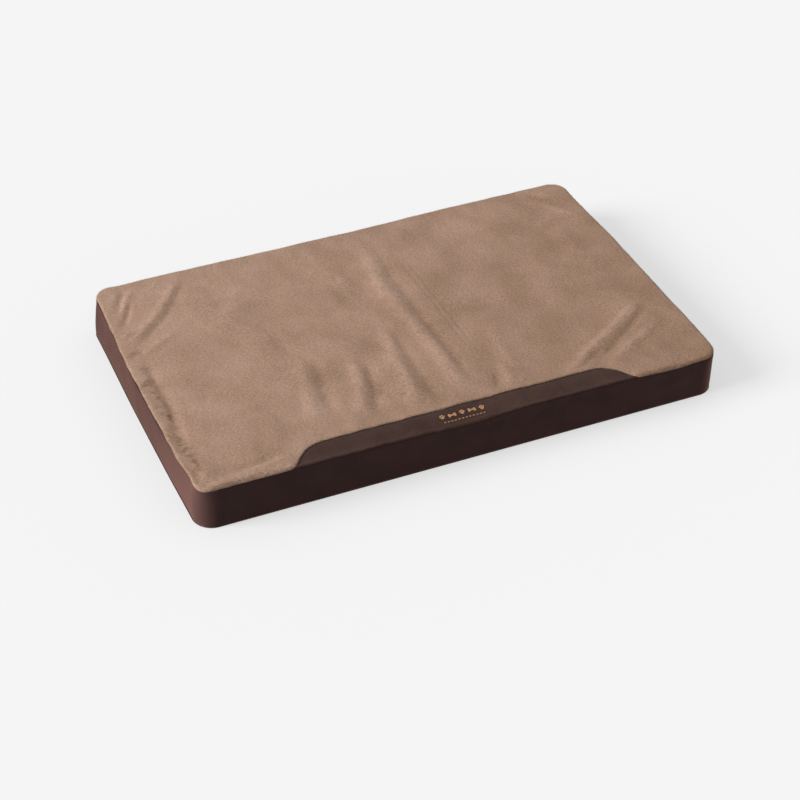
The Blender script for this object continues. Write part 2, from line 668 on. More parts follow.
rubbed = near_rim * smooth((patches - 0.3) / 0.35) + near_corner * smooth((patches - 0.2) / 0.4)
ridges = np.clip(fold_height(plan_x, plan_y) / (2.6 * MM), -0.6, 1)
front_roll = smooth((-plan_x - 235 * MM) / (40 * MM)) * np.exp(-((plan_inset - 9 * MM) / (7 * MM)) ** 2)
front_roll *= plan_y < -HALF_W + 40 * MM
raised_pile = 0.52 - 1.1 * plan_x + 0.5 * plan_y
raised_pile += 0.45 * ridges
raised_pile += 0.5 * front_roll
raised_pile += 0.5 * bumps(55, 27.0)
with_field(top_panel, "brushed", 0.62 * np.clip(rubbed[used], 0, 1))
with_field(top_panel, "raised", np.clip(raised_pile[used], 0, 1))
thicken(top_panel, PLUSH_T)
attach(top_panel, "bed")
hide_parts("top_panel")


# ---- Front insert ----------------------------------------------------------------------------
# A panel of dense dark plain weave let into the plush at the front edge, where the animal steps
# on. It has round shoulders, is sewn to the plush along a curve, and rolls down to the front seam.

INSERT_T = 1.0 * MM
INSERT_DROP = 1.5 * MM
SEAM_DIP = 1.0 * MM

# Plain weave of spun polyester yarn, about 20 yarns per cm in the real cloth. The yarns are
# drawn 0.9 mm apart so that they show. It is matt, with flecks where the yarn thickens.
insert_weave, tree, place = new_material("plain_weave_polyester")
slub = add(tree, "ShaderNodeMapping", {"Vector": place["Object"], "Scale": (1, 7, 1)})
flecks = add(tree, "ShaderNodeTexNoise", {"Vector": slub, "Scale": 160.0, "Detail": 3.0})
warp, weft = (
    add(tree, "ShaderNodeTexWave", {
        "Vector": place["Object"], "Scale": 175.0, "Distortion": 0.5, "Detail Scale": 2.0,
    }, bands_direction=across).outputs["Fac"]
    for across in "XY"
)
yarns = add(tree, "ShaderNodeMath", {0: warp, 1: weft}, operation="ADD")
wear = add(tree, "ShaderNodeTexNoise", {"Vector": place["Object"], "Scale": 24.0, "Detail": 4.0})
finish(
    tree,
    [(flecks, 0.35, 0.7, "#38251f", "#47312a"), (wear, 0.35, 0.65, "#e4dcd8", "#ffffff")],
    [(yarns, 0.6, 0.25 * MM), (flecks, 0.5, 0.3 * MM)],
    {"Roughness": 0.82, "Specular IOR Level": 0.15, "Sheen Weight": 0.04, "Sheen Roughness": 0.5},
)

insert_drop = INSERT_DROP + SEAM_DIP * np.exp(-(from_insert / (3 * MM)) ** 2)
insert_drop *= 0.15 + 0.85 * smooth((plan_inset - 1 * MM) / (9 * MM))
insert_shape = top_shape - top_normals * insert_drop[:, None]
shape, faces, _ = part_of(insert_shape, [f for f, held in zip(top_faces, faces_in_insert) if held])
front_insert = new_piece("woven_insert", shape, faces, insert_weave)
thicken(front_insert, INSERT_T)
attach(front_insert, "bed")
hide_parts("front_insert")


# ---- Side band -------------------------------------------------------------------------------
# One strip of dark twill runs round the front and both ends, between the plush and the base.
# Its edges are turned in at both seams, so it swells a little between them, and it is a touch
# too long for the foam, which leaves soft upright ripples and short puckers under the top seam.

BAND_T = 1.0 * MM
BAND_BOTTOM = 0.9 * MM
REAR_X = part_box("rear_band_upper")[1].x
BAND_SWELL = 1.3 * MM
BAND_PINCH = 1.1 * MM
BAND_ROUND = 2.6 * MM
# Soft dents in the front, in mm: place along X, height, depth and width
FRONT_DENTS = (
    (-6, 50, 2.2, 16), (40, 52, 1.6, 13), (-58, 47, 1.3, 18), (110, 50, 0.9, 16), (-150, 44, 0.8, 22),
    (214, 48, 1.1, 18), (300, 46, 1.2, 14), (338, 40, -0.9, 16), (-260, 40, 0.7, 24),
)
# Rows of the band, as shares of its height from the top seam down
BAND_ROWS = (
    0, 0.012, 0.03, 0.055, 0.09, 0.14, 0.2, 0.28, 0.36, 0.45, 0.55, 0.64, 0.72, 0.8, 0.86,
    0.91, 0.945, 0.97, 0.988, 1,
)


def with_uv(piece, u, v):
    """Gives a piece a UV map in metres from a value of u and v at each of its points."""
    layer = piece.data.uv_layers.new(name="UVMap")
    corner_points = np.zeros(len(piece.data.loops), np.int32)
    piece.data.loops.foreach_get("vertex_index", corner_points)
    layer.data.foreach_set("uv", np.stack([u[corner_points], v[corner_points]], axis=1).ravel())


def wall(name, points, facings, heights, outwards, material):
    """An upright strip: each row follows the points, moved outwards and set to its heights."""
    rows, columns = heights.shape
    vertices = np.concatenate([
        np.column_stack([points + facings * out[:, None], level])
        for level, out in zip(heights, outwards)
    ])
    vertices = draw_in(vertices)
    faces = [
        (a, a + columns, a + columns + 1, a + 1)
        for r in range(rows - 1) for a in range(r * columns, (r + 1) * columns - 1)
    ]
    piece = new_piece(name, vertices, faces, material)
    middle = piece.data.polygons[len(faces) // 2]
    facing = facings[columns // 2]
    if middle.normal.x * facing[0] + middle.normal.y * facing[1] < 0:
        piece.data.flip_normals()
    along = np.concatenate([[0], np.cumsum(np.linalg.norm(np.diff(points, axis=0), axis=1))])
    grid = vertices.reshape(rows, columns, 3)
    steps = np.linalg.norm(np.diff(grid, axis=0), axis=2).mean(axis=1)
    down = np.concatenate([[0], np.cumsum(steps)])
    with_uv(piece, np.tile(along, rows), np.repeat(-down, columns))
    return piece


# Twill of dark polyester yarn. Its ribs slant, and catch the light where it grazes them. They
# are drawn 3 mm apart, coarser than the yarn, so that they show.
band_weave, tree, place = new_material("twill_weave_polyester")
slant = add(tree, "ShaderNodeMapping", {"Vector": place["UV"], "Rotation": (0, 0, math.radians(57))})
ribs = add(tree, "ShaderNodeTexWave", {
    "Vector": slant, "Scale": 105.0, "Distortion": 0.8, "Detail": 2.0, "Detail Scale": 1.5,
}, bands_direction="X").outputs["Fac"]
yarn = add(tree, "ShaderNodeTexNoise", {"Vector": place["UV"], "Scale": 900.0, "Detail": 3.0})
shade = add(tree, "ShaderNodeTexNoise", {"Vector": place["UV"], "Scale": 26.0, "Detail": 4.0})
worn = add(tree, "ShaderNodeAttribute", attribute_name="worn").outputs["Fac"]
finish(
    tree,
    [(ribs, 0.0, 1.0, "#291617", "#382122"), (shade, 0.35, 0.65, "#dedede", "#ffffff")],
    [(ribs, 0.6, 0.5 * MM), (yarn, 0.5, 0.25 * MM)],
    {"Roughness": 0.7, "Specular IOR Level": 0.2, "Sheen Weight": 0.9, "Sheen Roughness": 0.35,
     "Sheen Tint": linear("#d99f88")},
    rubbed=(worn, "#5c403c"),
)

ring, ring_facing = outline(step=3.5 * MM)
on_band = ~((ring[:, 1] > HALF_W - 0.01 * MM) & (np.abs(ring[:, 0]) < REAR_X - 1 * MM))
band_path, band_facing = ring[on_band], ring_facing[on_band]
band_path[0, 0], band_path[-1, 0] = -REAR_X, REAR_X
distance = np.concatenate([[0], np.cumsum(np.linalg.norm(np.diff(band_path, axis=0), axis=1))])
band_top = seam_height(*band_path.T) + 0.2 * MM
share = np.array(BAND_ROWS)[:, None]
band_heights = band_top * (1 - share) + BAND_BOTTOM * share


def end_round(share, length):
    """How far in from the swell a strip lies near its two edges, from 0 in the middle to 1."""
    from_edge = np.minimum(share, 1 - share) * length
    return 1 - np.sqrt(1 - np.clip(1 - from_edge / BAND_ROUND, 0, 1) ** 2)


along_0 = 0 * distance
upright = ripple(distance, along_0, 75 * MM, 31.0) + 0.6 * ripple(distance, along_0, 33 * MM, 33.0)
drift = np.stack([ripple(distance, along_0 + row * 60 * MM, 48 * MM, 37.0) for row in BAND_ROWS])
by_insert = thin_at(*band_path.T)
puckers = 0.5 * MM * ripple(distance, along_0, 10 * MM, 35.0) * (1 - 0.8 * by_insert)
swell = np.sin(math.pi * share)
down = share * SEAM_Z
band_out = BAND_SWELL * swell ** 0.7 * (1 + 0.5 * upright) + 0.7 * MM * drift * swell ** 0.5
band_out -= RIM_BACK + BAND_PINCH * end_round(share, SEAM_Z)
band_out += corner_pull(*band_path.T) * np.exp(-down / (22 * MM))
band_out += puckers * np.exp(-down / (7 * MM)) * smooth(share / 0.03)
band_out -= 0.5 * MM * by_insert * np.exp(-down / (2 * MM))
for dent_x, dent_z, depth, width in FRONT_DENTS:
    across = (band_path[:, 0] - dent_x * MM) / (width * MM)
    level = (band_heights - dent_z * MM) / (0.55 * width * MM)
    band_out -= depth * MM * np.exp(-across ** 2 - level ** 2) * (band_path[:, 1] < 0)
side_band = wall("twill_side_band", band_path, band_facing, band_heights, band_out, band_weave)
# The cloth is rubbed paler towards the front left corner
worn_here = np.clip(-band_facing[:, 0], 0, 1) * smooth((-band_path[:, 1] - 40 * MM) / (170 * MM))
with_field(side_band, "worn", np.tile(0.75 * worn_here, len(BAND_ROWS)))
thicken(side_band, BAND_T)
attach(side_band, "bed")
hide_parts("side_band")


# ---- Emblem ----------------------------------------------------------------------------------
# Machine embroidery in tan polyester thread at the middle of the insert: a row of paws and
# bones over a row of short bars. Every shape is filled with threads that lie side by side.

emblem_low, emblem_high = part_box("emblem")
EMBLEM_X = (emblem_low.x + emblem_high.x) / 2
EMBLEM_Y = -231 * MM
MOTIFS = 5
MOTIF_PITCH = 15 * MM
MOTIF_REACH = 6.2 * MM
MOTIF_ROW = 4 * MM
BARS = 12
BAR_ROW = -6 * MM
BAR_PITCH = 5.4 * MM
BAR_L = 3 * MM
BAR_W = 1.4 * MM
THREAD_PITCH = 0.42 * MM
THREAD_R = 0.24 * MM
THREAD_RISE = 0.35 * MM


def new_tree(name, sizes):
    """A Geometry Nodes tree with its source geometry and a named input for each size."""
    tree = bpy.data.node_groups.new(name, "GeometryNodeTree")
    tree.interface.new_socket("Geometry", in_out="INPUT", socket_type="NodeSocketGeometry")
    tree.interface.new_socket("Geometry", in_out="OUTPUT", socket_type="NodeSocketGeometry")
    for size in sizes:
        kind = "NodeSocketInt" if size == "Seed" else "NodeSocketFloat"
        tree.interface.new_socket(size, in_out="INPUT", socket_type=kind)
    return tree, tree.nodes.new("NodeGroupInput").outputs


def end_tree(tree, geometry, material):
    """Ends a tree with plain geometry that carries a material."""
    real = add(tree, "GeometryNodeRealizeInstances", {"Geometry": geometry})
    painted = add(tree, "GeometryNodeSetMaterial", {"Geometry": real, "Material": material})
    rounded = add(tree, "GeometryNodeSetShadeSmooth", {"Geometry": painted})
    add(tree, "NodeGroupOutput", {"Geometry": rounded})


def grown(name, vertices, edges, faces, tree, sizes, directions=None):
    """The plain mesh that a tree makes from a source mesh and its sizes."""
    mesh = bpy.data.meshes.new(name + "_source")
    mesh.from_pydata([tuple(v) for v in vertices], edges, faces)
    if directions is not None:
        attribute = mesh.attributes.new("out", "FLOAT_VECTOR", "POINT")
        attribute.data.foreach_set("vector", np.asarray(directions, np.float32).ravel())
    source = bpy.data.objects.new(name + "_source", mesh)
    bpy.context.collection.objects.link(source)
    modifier = source.modifiers.new("grow", "NODES")
    modifier.node_group = tree
    for item in tree.interface.items_tree:
        if item.in_out == "INPUT" and item.name in sizes:
            modifier[item.identifier] = sizes[item.name]
    evaluated = source.evaluated_get(bpy.context.evaluated_depsgraph_get())
    result = bpy.data.objects.new(name, bpy.data.meshes.new_from_object(evaluated))
    result.data.name = name
    bpy.context.collection.objects.link(result)
    bpy.data.objects.remove(source)
    return result


def thread_tree(name, material):
    """Each edge of the source becomes a thread that rises from the cloth in its middle."""
    tree, sizes = new_tree(name, ("Radius", "Rise"))
    curve = add(tree, "GeometryNodeMeshToCurve", {"Mesh": sizes["Geometry"]})
    steps = add(tree, "GeometryNodeResampleCurve", {"Curve": curve, "Count": 5})
    along = add(tree, "GeometryNodeSplineParameter")
    rest = add(tree, "ShaderNodeMath", {0: 1.0, 1: along.outputs["Factor"]}, operation="SUBTRACT")
    arch = add(tree, "ShaderNodeMath", {0: along.outputs["Factor"], 1: rest}, operation="MULTIPLY")
    fourfold = add(tree, "ShaderNodeMath", {0: arch, 1: 4.0}, operation="MULTIPLY")
    height = add(tree, "ShaderNodeMath", {
        0: fourfold, 1: sizes["Rise"],
    }, operation="MULTIPLY")
    out = add(tree, "GeometryNodeInputNamedAttribute", {"Name": "out"}, data_type="FLOAT_VECTOR")
    lift = add(tree, "ShaderNodeVectorMath", {
        0: out, "Scale": height,
    }, operation="SCALE")
    raised = add(tree, "GeometryNodeSetPosition", {"Geometry": steps, "Offset": lift})
    profile = add(tree, "GeometryNodeCurvePrimitiveCircle", {
        "Resolution": 5, "Radius": sizes["Radius"],
    })
    tube = add(tree, "GeometryNodeCurveToMesh", {
        "Curve": raised, "Profile Curve": profile, "Fill Caps": True,
    })
    end_tree(tree, tube, material)
    return tree


def threads(name, ends, outs, tree, radius, rise):
    """Threads between pairs of ends, which arch in the direction given for each."""
    points = [p for pair in ends for p in pair]
    edges = [(2 * i, 2 * i + 1) for i in range(len(ends))]
    directions = [o for o in outs for _ in range(2)]
    return grown(name, points, edges, [], tree, {"Radius": radius, "Rise": rise}, directions)


def span_of(discs, bars, x):
    """The lowest and highest point of a shape of discs and bars at this x, or None."""
    spans = [
        (cy, ry * math.sqrt(1 - ((x - cx) / rx) ** 2))
        for cx, cy, rx, ry in discs if abs(x - cx) < rx
    ]
    spans += [(cy, ry) for cx, cy, rx, ry in bars if abs(x - cx) < rx]
    if not spans:
        return None
    return min(cy - reach for cy, reach in spans), max(cy + reach for cy, reach in spans)


# Twisted polyester embroidery thread: round and glossy, with a fine twist along it
embroidery, tree, place = new_material("polyester_embroidery_thread")
twist = add(tree, "ShaderNodeTexNoise", {"Vector": place["Object"], "Scale": 2600.0, "Detail": 2.0})
finish(tree, [(twist, 0.0, 1.0, "#926540", "#bb8c5f")], [(twist, 0.4, 0.1 * MM)],
       {"Roughness": 0.45, "Sheen Weight": 0.2})

insert_ground = BVHTree.FromPolygons([tuple(v) for v in insert_shape], top_faces)


def on_insert(x, y):
    """The point of the insert's surface at x, y, and the direction out of it."""
    point, direction, _, _ = insert_ground.ray_cast(Vector((x, y, 0.2)), Vector((0, 0, -1)))
    return point, direction


# A paw is a round pad under four toes. The numbers are middle and half size of each disc, in mm.
PAW = ([(0, -1.3, 2.6, 2.2), (-3.1, 0.9, 0.95, 1.3), (-1.15, 2.8, 1.0, 1.4),
        (1.15, 2.8, 1.0, 1.4), (3.1, 0.9, 0.95, 1.3)], [])
# A bone is a bar with two knobs at each end
BONE = ([(-4.2, -1.4, 1.7, 1.7), (-4.2, 1.4, 1.7, 1.7), (4.2, -1.4, 1.7, 1.7), (4.2, 1.4, 1.7, 1.7)],
        [(0, 0, 4.2, 1.3)])
emblem_ends, emblem_outs = [], []


def sew(places):
    """Adds a thread between two places on the insert."""
    pair = [on_insert(x, y) for x, y in places]
    emblem_ends.append([p + d * THREAD_R * 0.6 for p, d in pair])
    emblem_outs.append(pair[0][1])


for motif in range(MOTIFS):
    discs, bars = PAW if motif % 2 == 0 else BONE
    groups = [([d], bars) for d in discs] if motif % 2 == 0 else [(discs, bars)]
    for part_discs, part_bars in groups:
        for column in np.arange(-MOTIF_REACH, MOTIF_REACH, THREAD_PITCH):
            span = span_of(part_discs, part_bars, column / MM)
            if span is None or span[1] - span[0] < 0.5:
                continue
            x = EMBLEM_X + (motif - (MOTIFS - 1) / 2) * MOTIF_PITCH + column
            sew([(x, EMBLEM_Y + MOTIF_ROW + y * MM) for y in span])
for bar in range(BARS):
    for row in (-1, 0, 1):
        x = EMBLEM_X + (bar - (BARS - 1) / 2) * BAR_PITCH
        y = EMBLEM_Y + BAR_ROW + row * BAR_W / 3
        sew([(x + side * BAR_L / 2, y) for side in (-1, 1)])
emblem = threads("embroidered_emblem", emblem_ends, emblem_outs, thread_tree("satin_stitch", embroidery),
                 THREAD_R, THREAD_RISE)
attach(emblem, "bed")
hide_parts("emblem")


# ---- Pile along the seams --------------------------------------------------------------------
# Where the plush bends over at the rim and along the insert, its pile stands open, and the
# single polyester fibres show against the darker cloth behind them.

FIBRE_L = 2.0 * MM
FIBRE_R = 0.11 * MM
FIBRE_DENSITY = 620000.0
FIBRE_LEAN = 0.55
FIBRE_SEED = 7

tree, sizes = new_tree("pile_fibres", ("Length", "Radius", "Density", "Lean", "Seed"))
roots = add(tree, "GeometryNodeDistributePointsOnFaces", {
    "Mesh": sizes["Geometry"], "Density": sizes["Density"], "Seed": sizes["Seed"],
})
fibre = add(tree, "GeometryNodeMeshCone", {
    "Vertices": 3, "Radius Bottom": sizes["Radius"], "Depth": sizes["Length"],
}, fill_type="NONE")
less_lean = add(tree, "ShaderNodeMath", {0: sizes["Lean"], 1: -1.0}, operation="MULTIPLY")
low_lean = add(tree, "ShaderNodeCombineXYZ", {
    "X": less_lean, "Y": less_lean, "Z": -3.14,
})
high_lean = add(tree, "ShaderNodeCombineXYZ", {
    "X": sizes["Lean"], "Y": sizes["Lean"], "Z": 3.14,
})
turn = add(tree, "FunctionNodeRandomValue", {
    "Min": low_lean, "Max": high_lean, "Seed": sizes["Seed"],
}, data_type="FLOAT_VECTOR")
turned = add(tree, "FunctionNodeRotateRotation", {
    "Rotation": roots.outputs["Rotation"], "Rotate By": turn,
}, rotation_space="LOCAL")
long_or_short = add(tree, "FunctionNodeRandomValue", {2: 0.5, 3: 1.0, "Seed": sizes["Seed"]})
hairs = add(tree, "GeometryNodeInstanceOnPoints", {
    "Points": roots.outputs["Points"], "Instance": fibre, "Rotation": turned,
    "Scale": long_or_short.outputs[1],
})
end_tree(tree, hairs, plush)
open_pile = (plan_inset < 7.5 * MM) | (from_insert < 3.2 * MM)
pile_faces = [
    f for f, held in zip(top_faces, faces_in_insert) if not held and open_pile[list(f)].all()
]
shape, faces, _ = part_of(plush_shape, pile_faces)
pile = grown("pile_fringe", shape, [], faces, tree, {
    "Length": FIBRE_L, "Radius": FIBRE_R, "Density": FIBRE_DENSITY, "Lean": FIBRE_LEAN,
    "Seed": FIBRE_SEED,
})
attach(pile, "bed")


# ---- Rear bands ------------------------------------------------------------------------------
# At the rear the band is two strips of the same twill, one above and one below the zip. Each
# has its edge folded in and topstitched to the zip's tape.

upper_low, upper_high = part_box("rear_band_upper")
lower_low, lower_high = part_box("rear_band_lower")
REAR_Y = upper_high.y
FOLD_R = 0.95 * MM
HEM = 7 * MM
REAR_SWELL = 0.5 * MM
# Rows from the sewn edge to the bend, as shares of the way
REAR_ROWS = (0, 0.03, 0.07, 0.13, 0.22, 0.34, 0.48, 0.62, 0.76, 0.88, 0.95, 1)
STITCH_L = 3.0 * MM
STITCH_GAP = 1.0 * MM
STITCH_R = 0.22 * MM
STITCH_RISE = 0.12 * MM
STITCH_INSET = 3.0 * MM


def rear_row(x, y):
    """Points across the rear at these places along X, and the direction out of it at each."""
    return np.stack([x, np.full(x.shape, y)], axis=1), np.tile([0.0, 1.0], (len(x), 1))


rear_x = np.arange(-REAR_X, REAR_X + 1 * MM, 4 * MM)
rear_points, rear_facing = rear_row(rear_x, REAR_Y)
rear_wave = ripple(rear_x, 0 * rear_x, 60 * MM, 41.0)
stitch_ends = []


def rear_band(name, sewn_level, fold_level):
    """A strip from its sewn edge to its folded edge, with the hem turned up behind it."""
    toward_fold = 1 if fold_level > sewn_level.mean() else -1
    bend = fold_level - toward_fold * FOLD_R
    heights, outwards = [], []
    for t in REAR_ROWS:
        edge = end_round(np.array(t / 2), 2 * abs(bend - sewn_level.mean()))
        swell = REAR_SWELL * math.sin(math.pi * min(1, t)) * (1 + 0.8 * rear_wave)
        heights.append(sewn_level * (1 - t) + bend * t)
        outwards.append(swell - BAND_PINCH * edge * (t < 0.5))
    for a in np.radians(np.arange(20, 181, 20)):
        heights.append(np.full(rear_x.shape, bend + toward_fold * FOLD_R * math.sin(a)))
        outwards.append(np.full(rear_x.shape, -FOLD_R + FOLD_R * math.cos(a)))
    for t in (0.5, 1):
        heights.append(np.full(rear_x.shape, bend - toward_fold * HEM * t))
        outwards.append(np.full(rear_x.shape, -2 * FOLD_R))
    band = wall(
        "twill_" + name, rear_points, rear_facing, np.array(heights), np.array(outwards), band_weave,
    )
    thicken(band, FOLD_R)
    level = fold_level - toward_fold * STITCH_INSET
    for x in np.arange(-REAR_X + 3 * MM, REAR_X - 5 * MM, STITCH_L + STITCH_GAP):
        out = REAR_Y + REAR_SWELL * 0.35 + STITCH_R * 0.5
        stitch_ends.append([(x, out, level), (x + STITCH_L, out, level)])
    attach(band, "bed")
    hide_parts(name)


upper_sewn = seam_height(rear_x, np.full(rear_x.shape, REAR_Y)) + 0.2 * MM
lower_sewn = np.full(rear_x.shape, BAND_BOTTOM)
rear_band("rear_band_upper", upper_sewn, upper_low.z)
rear_band("rear_band_lower", lower_sewn, lower_high.z)


# ---- Base panel ------------------------------------------------------------------------------
# The underside is one panel of coated weave, sewn to the band all round. Rows of soft plastic
# dots are printed on it, so that the bed doesn't slide on a smooth floor.

BASE_T = 0.7 * MM
BASE_LIFT = 0.6 * MM
BASE_WAVE = 0.06 * MM
BASE_ROUND = 3 * MM
BASE_STEP = 12 * MM
# Rows of points in from the rim, in mm
BASE_RINGS = (0.9, 1.4, 2.2, 3.4, 5.0, 8.0)
DOT_PITCH = 12 * MM
DOT_R = 2.1 * MM
DOT_MARGIN = 14 * MM

# Polyurethane-coated polyester: nearly black, with the weave showing faintly through a dull film
coated, tree, place = new_material("coated_polyester_base")
warp, weft = (
    add(tree, "ShaderNodeTexWave", {"Vector": place["Object"], "Scale": 160.0},
        bands_direction=across).outputs["Fac"]
    for across in "XY"
)
yarns = add(tree, "ShaderNodeMath", {0: warp, 1: weft}, operation="ADD")
film = add(tree, "ShaderNodeTexNoise", {"Vector": place["Object"], "Scale": 40.0, "Detail": 5.0})
finish(tree, [(film, 0.0, 1.0, "#231c1a", "#322926")], [(yarns, 0.5, 0.15 * MM)], {"Roughness": 0.6})

# Printed soft PVC dots: black, smooth and slightly shiny, with a little dust on them
grip, tree, place = new_material("printed_soft_pvc")
dust = add(tree, "ShaderNodeTexNoise", {"Vector": place["Object"], "Scale": 300.0, "Detail": 4.0})
gloss = add(tree, "ShaderNodeMapRange", {"Value": dust, "To Min": 0.35, "To Max": 0.6})
finish(tree, [(dust, 0.0, 1.0, "#0b0a0a", "#1a1716")], [], {"Roughness": gloss})

base_points = [tuple(p) for inset in BASE_RINGS for p in outline(inset * MM, 6 * MM)[0]]
steps_x, steps_y = int(HALF_L / BASE_STEP), int(HALF_W / BASE_STEP)
grid = np.array([
    (i * BASE_STEP, j * BASE_STEP)
    for i in range(-steps_x, steps_x + 1) for j in range(-steps_y, steps_y + 1)
])
base_points += [tuple(p) for p in grid[inset_and_facing(*grid.T)[0] > BASE_STEP]]
flat, faces = flat_mesh(base_points)
inset, _, _ = inset_and_facing(*flat.T)
turned_up = 1 - np.sqrt(1 - np.clip(1 - (inset - BASE_RINGS[0] * MM) / BASE_ROUND, 0, 1) ** 2)
level = BASE_LIFT + (BAND_BOTTOM - BASE_LIFT) * turned_up
level += BASE_WAVE * ripple(*flat.T, 60 * MM, 51.0) * (1 - turned_up)
faces = [tuple(reversed(f)) for f in faces]
base_panel = new_piece("coated_base", draw_in(np.column_stack([flat, level])), faces, coated)
thicken(base_panel, BASE_T)
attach(base_panel, "bed")
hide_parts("base_panel")

tree, sizes = new_tree("grip_dots", ("Radius", "Height"))
dot = add(tree, "GeometryNodeMeshUVSphere", {"Segments": 8, "Rings": 4, "Radius": 1.0})
dot_scale = add(tree, "ShaderNodeCombineXYZ", {
    "X": sizes["Radius"], "Y": sizes["Radius"], "Z": sizes["Height"],
})
dots = add(tree, "GeometryNodeInstanceOnPoints", {
    "Points": sizes["Geometry"], "Instance": dot, "Scale": dot_scale,
})
end_tree(tree, dots, grip)
lattice = staggered(DOT_PITCH)
lattice = lattice[inset_and_facing(*lattice.T)[0] > DOT_MARGIN]
dot_height = BASE_LIFT + 0.1 * MM
centres = np.column_stack([lattice, np.full(len(lattice), dot_height)])
grip_dots = grown("grip_dots", centres, [], [], tree, {"Radius": DOT_R, "Height": dot_height})
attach(grip_dots, "bed")


# ---- Zip -------------------------------------------------------------------------------------
# A number 5 coil zip closes the rear. Each tape carries a nylon monofilament wound into a flat
# coil, and the two coils hook into each other. Its ends run under doubled tabs of twill.

tape_low, tape_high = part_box("zip_tape_upper")
COIL_PITCH = 1.35 * MM
COIL_WIRE_R = 0.32 * MM
TAPE_T = tape_high.y - tape_low.y

# Woven polyester zip tape: herringbone, dull and very dark brown. Its rows are drawn 1 mm apart.
tape_weave, tree, place = new_material("woven_zip_tape")
herringbone = add(tree, "ShaderNodeTexWave", {
    "Vector": place["UV"], "Scale": 320.0, "Distortion": 1.0,
}, bands_direction="DIAGONAL").outputs["Fac"]
finish(tree, [(herringbone, 0.0, 1.0, "#241a18", "#33262a")], [(herringbone, 0.5, 0.15 * MM)],
       {"Roughness": 0.8})

# Nylon monofilament: dark, smooth and a little translucent at its edges, so it glints
nylon, tree, place = new_material("nylon_monofilament")
drawn = add(tree, "ShaderNodeTexNoise", {"Vector": place["Object"], "Scale": 1500.0, "Detail": 2.0})
gloss = add(tree, "ShaderNodeMapRange", {"Value": drawn, "To Min": 0.22, "To Max": 0.4})
finish(tree, [(drawn, 0.0, 1.0, "#1a1312", "#2b2120")], [], {"Roughness": gloss, "IOR": 1.53})

tape_x = np.arange(tape_low.x, tape_high.x + 1 * MM, 6 * MM)
tape_points, tape_facing = rear_row(tape_x, tape_high.y)
for half in ("upper", "lower"):
    low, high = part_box("zip_tape_" + half)
    levels = np.linspace(high.z, low.z, 6)[:, None] * np.ones(len(tape_x))
    tape = wall("woven_tape_" + half, tape_points, tape_facing, levels, 0 * levels, tape_weave)
    thicken(tape, TAPE_T)
    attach(tape, "bed")
    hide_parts("zip_tape_" + half)

tree, sizes = new_tree("zip_coil", ("Turns", "Length", "Half thickness", "Half width", "Wire radius"))
helix = add(tree, "GeometryNodeCurveSpiral", {
    "Resolution": 10, "Rotations": sizes["Turns"], "Start Radius": 1.0, "End Radius": 1.0,
    "Height": sizes["Length"],
})
flat_size = add(tree, "ShaderNodeCombineXYZ", {
    "X": sizes["Half width"], "Y": sizes["Half thickness"], "Z": 1.0,
})
laid = add(tree, "GeometryNodeTransform", {
    "Geometry": helix, "Scale": flat_size, "Rotation": (0, math.radians(90), 0),
})
wire = add(tree, "GeometryNodeCurvePrimitiveCircle", {"Resolution": 5, "Radius": sizes["Wire radius"]})
swept = add(tree, "GeometryNodeCurveToMesh", {
    "Curve": laid, "Profile Curve": wire, "Fill Caps": True,
})
end_tree(tree, swept, nylon)
for half in ("upper", "lower"):
    low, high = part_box("zip_coil_" + half)
    coil = grown("nylon_coil_" + half, [(0, 0, 0)], [], [], tree, {
        "Turns": (high.x - low.x) / COIL_PITCH, "Length": high.x - low.x,
        "Half thickness": (high.y - low.y) / 2 - COIL_WIRE_R,
        "Half width": (high.z - low.z) / 2 - COIL_WIRE_R, "Wire radius": COIL_WIRE_R,
    })
    coil.data.transform(Matrix.Translation((low.x, (low.y + high.y) / 2, (low.z + high.z) / 2)))
    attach(coil, "bed")
    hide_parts("zip_coil_" + half)
    middle = (low.z + high.z) / 2
    for x in np.arange(low.x + COIL_PITCH, high.x - COIL_PITCH, 2 * COIL_PITCH):
        stitch_ends.append([(x, high.y, middle), (x + 1.7 * COIL_PITCH, high.y, middle)])


def soft_block(name, low, high, material, round_r):
    """A small folded piece of cloth: a block with round edges and a UV map over its front."""
    mesh = bpy.data.meshes.new(name)
    form = bmesh.new()
    bmesh.ops.create_cube(form, size=1.0)
    for v in form.verts:
        v.co = Vector(low[i] + (v.co[i] + 0.5) * (high[i] - low[i]) for i in range(3))
    bmesh.ops.bevel(form, geom=form.edges, offset=round_r, segments=3, profile=0.5, affect="EDGES")
    form.to_mesh(mesh)
    form.free()
    mesh.materials.append(material)
    mesh.shade_smooth()
    block = bpy.data.objects.new(name, mesh)
    bpy.context.collection.objects.link(block)
    places = np.array([v.co for v in mesh.vertices])
    with_uv(block, places[:, 0], places[:, 2])
    return block


for end in ("left", "right"):
    low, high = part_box("zip_end_tab_" + end)
    tab = soft_block("twill_end_tab_" + end, low, high, band_weave, 0.7 * MM)
    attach(tab, "bed")
    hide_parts("zip_end_tab_" + end)
    inner = high.x - 2.5 * MM if end == "left" else low.x + 2.5 * MM
    for z in np.arange(low.z + 0.8 * MM, high.z - 2.5 * MM, 3.4 * MM):
        stitch_ends.append([(inner, high.y, z), (inner, high.y, z + 2.6 * MM)])

# Spun polyester sewing thread, a shade lighter than the twill it holds
sewing, tree, place = new_material("spun_polyester_thread")
ply = add(tree, "ShaderNodeTexNoise", {"Vector": place["Object"], "Scale": 2600.0, "Detail": 2.0})
finish(tree, [(ply, 0.0, 1.0, "#3d2c29", "#5e4741")], [(ply, 0.4, 0.1 * MM)], {"Roughness": 0.7})

